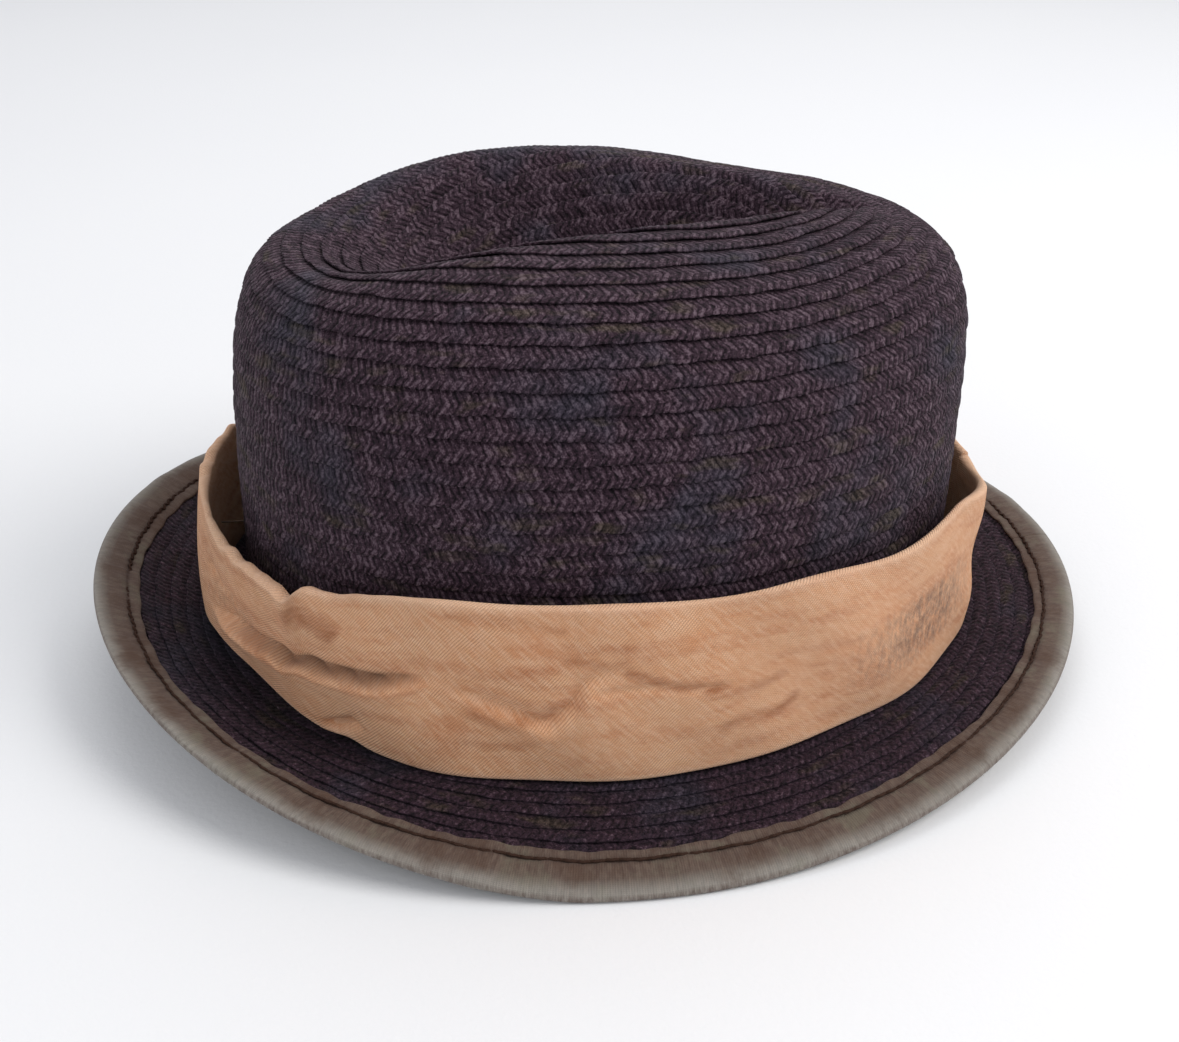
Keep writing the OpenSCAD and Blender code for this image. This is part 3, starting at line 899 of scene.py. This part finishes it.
def from_line(u, w, line):
    """Distance of each point from a broken line, and how far along the line it is, 0 to 1."""
    line = np.array(line, float)
    nearest = np.full(np.broadcast(u, w).shape, 1e9)
    sign = np.ones_like(nearest)
    along = np.zeros_like(nearest)
    parts = len(line) - 1
    for k in range(parts):
        (x0, y0), (x1, y1) = line[k], line[k + 1]
        dx, dy = x1 - x0, y1 - y0
        t = np.clip(((u - x0) * dx + (w - y0) * dy) / (dx * dx + dy * dy), 0, 1)
        gap = np.hypot(u - x0 - t * dx, w - y0 - t * dy)
        closer = gap < nearest
        above = np.where(dx * (w - y0) - dy * (u - x0) >= 0, 1.0, -1.0)
        nearest = np.where(closer, gap, nearest)
        sign = np.where(closer, above, sign)
        along = np.where(closer, (k + t) / parts, along)
    return nearest * sign, along


class Band:
    """The loose band: a tube of twill, folded flat and worn soft."""

    # Degrees round the head and millimetres up the band
    MAIN_CREASE = ((198, 11), (206, 14.5), (218, 22.5), (229, 24), (237, 25.5), (245, 27.5))
    SOFT_FOLD = ((244, 26), (252, 21.5), (259, 17.5), (261.5, 22), (263.5, 28), (268, 33))
    LOW_TUCK = ((226, 2), (230, 5), (233, 9))
    FLAT_LINE = ((263, 26), (268, 26), (273, 26.5), (286, 23))
    END_CREASE = ((196, 30), (202, 26), (209, 24))
    # Stains: four places in the same terms, half width in millimetres and strength
    STREAKS = (
        ((205, 16), (218, 20), (232, 22), (246, 25), 1.4, 0.55),
        ((246, 21), (253, 17), (258, 18), (262, 25), 2.6, 0.6),
        ((220, 46), (223, 41), (227, 38), (231, 35), 5.0, 0.8),
        ((260, 36), (264, 34), (267, 33), (270, 35), 1.8, 0.5),
        ((268, 32), (271, 30), (276, 26), (284, 24), 1.8, 0.75),
        ((278, 24), (283, 22), (288, 22), (292, 24), 1.8, 0.6),
        ((280, 12), (285, 14), (290, 13), (294, 17), 1.8, 0.75),
        ((244, 45), (250, 46), (257, 45), (263, 42), 1.5, 0.45),
        ((228, 4), (231, 8), (233, 13), (236, 15), 2.2, 0.4),
        ((246, 12), (250, 10), (255, 11), (259, 13), 1.8, 0.45),
    )
    DEGREE = 1.72  # millimetres round the band in one degree
    HIGH = 49  # millimetres up to the band's upper fold
    LEAST_GAP = 0.0013  # how near the straw the cloth may come

    def __init__(self, context):
        self.block = Block(context.scene.trilby_block)
        self.trim = context.scene.trilby_trim

    def clear(self, a):
        """Gap between the straw and the band's inner face."""
        t = self.trim
        ends = np.where(np.cos(a) < 0, t.band_gap_back, t.band_gap_front)
        return t.band_gap + ends * np.cos(a) ** 2

    def height(self, a):
        """The band's height, with its slumped ends, its notch and its low place at the front."""
        t = self.trim
        back = ease(-np.cos(a), 0.5, 0.84)
        front = np.clip((np.cos(a) - 0.82) / 0.18, 0, 1)
        tall = t.band_h - t.slump_back * back - t.slump_front * front**1.5
        notch = 0.0034 * hump(a, 220.5, 1.8) - 0.0012 * hump(a, 225, 3) + 0.0012 * hump(a, 238, 6)
        around = a * HEAD_RADIUS
        waves = 0.0005 * back * ripple(around, (11.3, 7.7), 0.4) + 0.0005 * ripple(around, (71, 43), 1.0)
        low = 0.0032 * hump(a, 314, 16) - 0.0012 * hump(a, 262, 13)
        return tall - notch + waves - low - self.raised(a)

    def raised(self, a):
        """How far the lower fold stands clear of the brim."""
        return 0.0082 * hump(a, 204, 18) + 0.0008 * hump(a, 292, 9) + 0.0014 * hump(a, 230.5, 2.5)

    def foot(self, a):
        """The lower fold lies on the brim."""
        t = self.trim
        width = self.block.reach(a)[2]
        inner = width - self.clear(a)
        both = [self.block.brim(a, inner - k, self.block.size.straw / 2)[..., 2] for k in (0, t.band_t)]
        return np.maximum(*both) + 0.0004 + self.raised(a)

    def from_fold(self, a, k, fold):
        """Millimetres from a fold's line, and how far along it, 0 to 1."""
        line = [(degrees * self.DEGREE, up) for degrees, up in fold]
        return from_line(np.degrees(a) % 360 * self.DEGREE, k * self.HIGH, line)

    def folds(self, a, k):
        """How far the outer ply stands out from its plain place."""
        out = 0.0006 * ripple(np.degrees(a) % 360 * self.DEGREE + k * self.HIGH * 0.8, (67, 39), 0.3)
        gap, along = self.from_fold(a, k, self.MAIN_CREASE)
        fade = ease(along, 0, 0.25) * (1 - ease(along, 0.8, 1))
        # Cloth bulges below the fold's line and is pulled in above it
        shelf = np.where(gap < 0, np.exp(gap / 8.0) * (1 - np.exp(gap / 0.9)), 0)
        above = np.where(gap >= 0, np.exp(-gap / 4.0), np.exp(gap / 0.9))
        out = out + fade * (0.0056 * shelf - 0.0020 * above)
        gap, along = self.from_fold(a, k, self.SOFT_FOLD)
        fade = ease(along, 0, 0.2) * (1 - ease(along, 0.75, 1))
        shelf = np.where(gap < 0, np.exp(gap / 7) * (1 - np.exp(gap / 1.6)), 0)
        out = out + fade * (0.0026 * shelf - 0.0014 * np.exp(-((gap / 2) ** 2)))
        for fold, depth, wide in (
            (self.LOW_TUCK, 0.0026, 1.8), (self.FLAT_LINE, 0.0006, 1.2), (self.END_CREASE, 0.0014, 1.8)
        ):
            gap, along = self.from_fold(a, k, fold)
            fade = 1 - ease(np.abs(along - 0.5), 0.3, 0.5)
            out = out - fade * depth * np.exp(-((gap / wide) ** 2))
        out = out + 0.0026 * hump(a, 188, 15) * (1 - k) + 0.0012 * hump(a, 215, 14) * k
        out = out + 0.0016 * hump(a, 336, 7) * np.exp(-(((k - 0.25) / 0.2) ** 2))
        out = out - 0.0012 * hump(a, 344, 6) * np.exp(-(((k - 0.45) / 0.25) ** 2))
        return out

    def make(self, rows=700):
        """Lays the outer ply up from the lower fold, turns over the top and comes down inside."""
        a = np.linspace(0, TURN, rows + 1)[:, None]
        outer = np.linspace(0.015, 0.985, 55)
        inner = np.linspace(0.96, 0.04, 7)
        round_top = ((0.995, 0.9), (1.0, 0.5), (0.985, 0.1))
        k = np.concatenate([outer, [p[0] for p in round_top], inner, [0.015, 0.0, 0.005]])
        depth = np.concatenate([0 * outer + 1, [p[1] for p in round_top], 0 * inner, [0.1, 0.5, 0.9]])
        k, depth = np.append(k, k[0])[None, :], np.append(depth, depth[0])[None, :]
        out = self.folds(a, k)
        plain = 0.00025 * ripple(a * HEAD_RADIUS, (83, 51), 2.0)
        face = self.clear(a) + self.trim.band_t * depth + mix(plain, out, depth)
        points = self.block.wall(a, np.maximum(face, self.LEAST_GAP), self.foot(a) + self.height(a) * k)
        across = (lengths(points[:, len(outer) // 2])[:, None], lengths(points[rows // 4]))
        piece = lay_grid("hat_band", points, across, self.marks(a, k, depth))
        thicken(piece, self.trim.ply, -1)
        return piece

    def marks(self, a, k, depth):
        """Where the twill is stained and scuffed, where its folded edges are faded and carry a painted
        highlight, and where painted shade lies along its main crease.
        """
        stain = 0
        for *line, wide, dark in self.STREAKS:
            gap, along = self.from_fold(a, k, line)
            fade = 1 - ease(np.abs(along - 0.5), 0.35, 0.5)
            stain = stain + dark * fade * np.exp(-((gap / wide) ** 2))
        # The folded edges are faded and also carry a painted highlight where the cloth rolls over
        edge = np.exp(-(((k - 1) * self.HIGH / 1.6) ** 2)) + np.exp(-((k * self.HIGH / 1.6) ** 2))
        scuff = 1.0 * hump(a, 318, 14) * np.exp(-(((k - 0.42) / 0.22) ** 4))
        back = 0.35 * hump(a, 205, 14) * np.exp(-(((k - 0.4) / 0.25) ** 2))
        # Painted shade: a thin dark line along the main crease of the outer ply
        gap, along = self.from_fold(a, k, self.MAIN_CREASE)
        crease_shade = ease(along, 0.2, 0.5) * (1 - ease(along, 0.75, 1)) * np.exp(-((gap / 1.0) ** 2)) * depth
        stain = np.clip(stain * depth, 0, 1)
        return {"stain": stain, "grime": scuff + back, "faded": np.clip(edge, 0, 1), "crease_shade": crease_shade}


class TRILBY_OT_band(bpy.types.Operator):
    """Drapes the folded twill band round the crown, loose at the front and back"""

    bl_idname = "trilby.band"
    bl_label = "Hat band"

    def execute(self, context):
        piece = Band(context).make()
        twill_finish("washed_twill").on(piece)
        stand_for(piece, "hat_band")
        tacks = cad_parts["band_tacks"]
        knot_finish("tack_thread", (0.10, 0.06, 0.04), (0.17, 0.105, 0.07)).on(tacks)
        return {"FINISHED"}


# ---- inside ----


def inside_patch(block, middle, wide, low, high, depth, rows, columns, curl):
    """A grid on the sweatband's inner side, which stands off it by its curl. Also gives its UVs."""
    a = math.radians(middle) + np.linspace(-0.5, 0.5, rows + 1)[:, None] * wide / block.size.half_l
    up = np.linspace(0, 1, columns + 1)[None, :]
    z = block.size.head_line + mix(low, high, up)
    points = block.wall(a, curl(a, up) - depth, z)
    return points, (np.linspace(0, wide, rows + 1)[:, None], (high - low) * up)


def label_curl(a, up):
    """The woven label is sewn at its ends and puffs between them."""
    return -0.0003 * np.sin(math.pi * up) + 0.0001 * np.sin(a * 190)


def care_curl(a, up):
    """The care label is sewn at its foot and leans away above it."""
    return -0.0014 * up**2 + 0.0005 * np.sin(a * 110) * up


class TRILBY_OT_sweatband(bpy.types.Operator):
    """Sews the sweatband into the head opening"""

    bl_idname = "trilby.sweatband"
    bl_label = "Sweatband"

    STITCHES = 200

    def execute(self, context):
        trim, shades = context.scene.trilby_trim, context.scene.trilby_colours
        block = Block(context.scene.trilby_block)
        a = np.linspace(0, TURN, 901)[:, None]
        # Depth inside the straw's outer face, and height over the head line, in mm
        hem = ((2.05, 1.2), (2.0, -0.4), (2.5, -1.0), (3.05, -0.4))
        face = [(3.1, z) for z in np.linspace(1.0, 31.5, 15)]
        top = ((3.0, 32.6), (2.5, 33.0), (2.05, 32.5))
        back = [(2.02, z) for z in np.linspace(30, 3, 7)]
        section = np.array([*hem, *face, *top, *back, hem[0]]) * MM
        out, up = -section[None, :, 0], section[None, :, 1]
        wave = 0.0004 * ripple(a * HEAD_RADIUS, (37, 23, 61), 0.7) * ease(up, 0.006, 0.033)
        join = 0.0006 * ease(np.degrees(a), 171, 171.5) * (1 - ease(np.degrees(a), 176, 176.6))
        inner = ease(-out, 0.0026, 0.003)
        points = block.wall(a, out - inner * (wave + 0.0003 + join), block.size.head_line + up)
        round_face = lengths(points[:, len(hem) + 4])[:, None]
        piece = lay_grid("sweatband", points, (round_face, lengths(section)))
        cloth_finish("plain_twill", shades.sweat, (0.13, 0.095, 0.08), 0.0009, 45, 0.5).on(piece)
        stand_for(piece, "sweatband")
        a = np.linspace(0, TURN, self.STITCHES * 8, endpoint=False)
        dip = np.abs(np.cos(math.pi * self.STITCHES * a / TURN)) ** 5
        path = block.wall(a, -0.0038 + 0.0005 * dip, block.size.head_line + 0.0016)
        thread = tube("sweatband_thread", path, trim.thread)
        thread_finish("brown_thread", (0.03, 0.022, 0.018), (0.08, 0.06, 0.05)).on(thread)
        stand_for(thread, "sweatband_thread")
        return {"FINISHED"}


class TRILBY_OT_labels(bpy.types.Operator):
    """Adds the blank woven label and the blank care label"""

    bl_idname = "trilby.labels"
    bl_label = "Labels"

    LABEL_LOW = 0.008  # height over the head line
    CARE_LOW = 0.0008
    CARE_MIDDLE = 140  # degrees round from the front

    def execute(self, context):
        trim, shades = context.scene.trilby_trim, context.scene.trilby_colours
        block = Block(context.scene.trilby_block)
        high = self.LABEL_LOW + trim.label_h
        points, across = inside_patch(
            block, 180, trim.label_w, self.LABEL_LOW, high, 0.00405, 90, 28, label_curl
        )
        label = lay_grid("woven_label", points, across, loop=False)
        thicken(label, 0.0004, 0)
        cloth_finish("woven_satin", shades.label, (0.42, 0.37, 0.3), 0.0006, 8, 0.8).on(label)
        stand_for(label, "woven_label")
        self.sew_label(block, trim)
        high = self.CARE_LOW + trim.care_h
        points, across = inside_patch(
            block, self.CARE_MIDDLE, trim.care_w, self.CARE_LOW, high, 0.0043, 36, 44, care_curl
        )
        care = lay_grid("care_label", points, across, loop=False)
        thicken(care, 0.0003, 0)
        cloth_finish("care_satin", shades.care, (0.85, 0.84, 0.8), 0.0004, 4, 0.6).on(care)
        stand_for(care, "care_label")
        return {"FINISHED"}

    def sew_label(self, block, trim):
        """A short zigzag of thread down each end of the label."""
        ends = []
        for side in (-1, 1):
            up = np.linspace(0.05, 0.95, 73)
            zigzag = np.abs((up * 14) % 2 - 1) - 0.5
            along = side * (trim.label_w / 2 - 0.002) + 0.0012 * zigzag
            a = math.pi + along / block.size.half_l
            z = block.size.head_line + self.LABEL_LOW + trim.label_h * up
            path = block.wall(a, -0.00455, z)
            ends.append(tube(f"label_stitches_{len(ends) + 1}", path, trim.thread * 0.8, loop=False))
        bpy.ops.object.select_all(action="DESELECT")
        for end in ends:
            end.select_set(True)
        bpy.context.view_layer.objects.active = ends[0]
        bpy.ops.object.join()
        piece = bpy.context.object
        piece.name = piece.data.name = "woven_label_thread"
        thread_finish("pale_thread", (0.04, 0.03, 0.026), (0.1, 0.08, 0.065)).on(piece)
        stand_for(piece, "woven_label_thread")


class TRILBY_OT_hidden(bpy.types.Operator):
    """Gives the wire, its ferrule and the hidden stitches their finishes"""

    bl_idname = "trilby.hidden"
    bl_label = "Wire and stitches"

    def execute(self, context):
        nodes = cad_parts
        metal_finish("spring_wire", (0.42, 0.43, 0.44), 900).on(nodes["brim_edge_wire"])
        metal_finish("pressed_tube", (0.62, 0.62, 0.6), 500).on(nodes["wire_ferrule"])
        stitches = knot_finish("seam_knots", (0.014, 0.011, 0.014), (0.05, 0.04, 0.048))
        stitches.on(nodes["head_seam_stitches"])
        return {"FINISHED"}


# ---- stage ----


class TRILBY_OT_stage(bpy.types.Operator):
    """Sets the pale floor, the soft lights and the camera"""

    bl_idname = "trilby.stage"
    bl_label = "Stage"

    FLOOR = 6.0  # metres along each side
    TARGET = (-0.0013, -0.0031, 0.0297)
    # Name, where it stands, width, power and colour
    LIGHTS = (
        ("key", (0.95, -0.35, 1.05), 0.8, 13.0, (1.0, 0.98, 0.96)),
        ("fill", (-1.1, -0.7, 0.9), 1.4, 4.2, (0.93, 0.96, 1.0)),
        ("top", (0.1, 0.7, 1.3), 1.2, 6.0, (1.0, 1.0, 1.0)),
    )
    ROOM = (0.93, 0.95, 1.0)
    ROOM_STRENGTH = 0.72

    def execute(self, context):
        self.lay_floor(context)
        self.hang_lights(context)
        self.stand_camera(context)
        return {"FINISHED"}

    def lay_floor(self, context):
        bpy.ops.object.select_all(action="DESELECT")
        bpy.ops.mesh.primitive_plane_add(size=self.FLOOR)
        floor = context.object
        floor.name = "floor"
        f = Finish("pale_floor", Specular_IOR_Level=0.2, Roughness=0.85)
        place = f.place()
        f.colour(f.blend(f.noise(place, 3), context.scene.trilby_colours.floor, (0.74, 0.74, 0.74)))
        f.bump(f.noise(place, 700, 3), 0.0002, 0.5)
        f.on(floor)

    def hang_lights(self, context):
        for name, spot, wide, power, shade in self.LIGHTS:
            bpy.ops.object.light_add(type="AREA", location=spot)
            light = context.object
            light.name = name
            light.data.shape = "DISK"
            light.data.size = wide
            light.data.energy = power
            light.data.color = shade
            aim(light, self.TARGET)
        world = bpy.data.worlds.new("soft_room")
        world.use_nodes = True
        room = world.node_tree.nodes["Background"]
        room.inputs["Color"].default_value = (*self.ROOM, 1)
        room.inputs["Strength"].default_value = self.ROOM_STRENGTH
        context.scene.world = world
        context.scene.view_settings.view_transform = "Standard"

    def stand_camera(self, context):
        view = context.scene.trilby_view
        turn, height = math.radians(view.turn), math.radians(view.height)
        flat = math.cos(height)
        away = Vector((-math.sin(turn) * flat, -math.cos(turn) * flat, math.sin(height)))
        bpy.ops.object.camera_add(location=Vector(self.TARGET) + view.distance * away)
        camera = context.object
        camera.name = "camera"
        camera.data.lens = view.lens
        camera.data.sensor_width = 36
        camera.data.clip_start = 0.01
        aim(camera, self.TARGET)
        context.scene.camera = camera


def aim(thing, target):
    """Points a light or the camera at a place."""
    look = Vector(target) - thing.location
    thing.rotation_euler = look.to_track_quat("-Z", "Y").to_euler()


# ---- panel and registration ----

OPERATORS = (
    TRILBY_OT_stage,
    TRILBY_OT_crown,
    TRILBY_OT_brim,
    TRILBY_OT_binding,
    TRILBY_OT_band,
    TRILBY_OT_sweatband,
    TRILBY_OT_labels,
    TRILBY_OT_hidden,
)
GROUPS = {
    "trilby_block": TrilbyBlock,
    "trilby_braid": TrilbyBraid,
    "trilby_trim": TrilbyTrim,
    "trilby_colours": TrilbyColours,
    "trilby_view": TrilbyView,
}


class TRILBY_PT_maker(bpy.types.Panel):
    """The hat's sizes, colours and pieces"""

    bl_idname = "TRILBY_PT_maker"
    bl_label = "Trilby"
    bl_space_type = "VIEW_3D"
    bl_region_type = "UI"
    bl_category = "Trilby"

    def draw(self, context):
        for operator in OPERATORS:
            self.layout.operator(operator.bl_idname)
        for name, group in GROUPS.items():
            box = self.layout.box()
            for field in group.__annotations__:
                box.prop(getattr(context.scene, name), field)


def register():
    for group in GROUPS.values():
        bpy.utils.register_class(group)
    for name, group in GROUPS.items():
        setattr(bpy.types.Scene, name, bpy.props.PointerProperty(type=group))
    for operator in OPERATORS:
        bpy.utils.register_class(operator)
    bpy.utils.register_class(TRILBY_PT_maker)


def unregister():
    bpy.utils.unregister_class(TRILBY_PT_maker)
    for operator in reversed(OPERATORS):
        bpy.utils.unregister_class(operator)
    for name, group in GROUPS.items():
        delattr(bpy.types.Scene, name)
        bpy.utils.unregister_class(group)


def main():
    register()
    bpy.ops.trilby.stage()
    bpy.ops.trilby.crown()
    bpy.ops.trilby.brim()
    bpy.ops.trilby.binding()
    bpy.ops.trilby.band()
    bpy.ops.trilby.sweatband()
    bpy.ops.trilby.labels()
    bpy.ops.trilby.hidden()


if __name__ == "__main__":
    main()
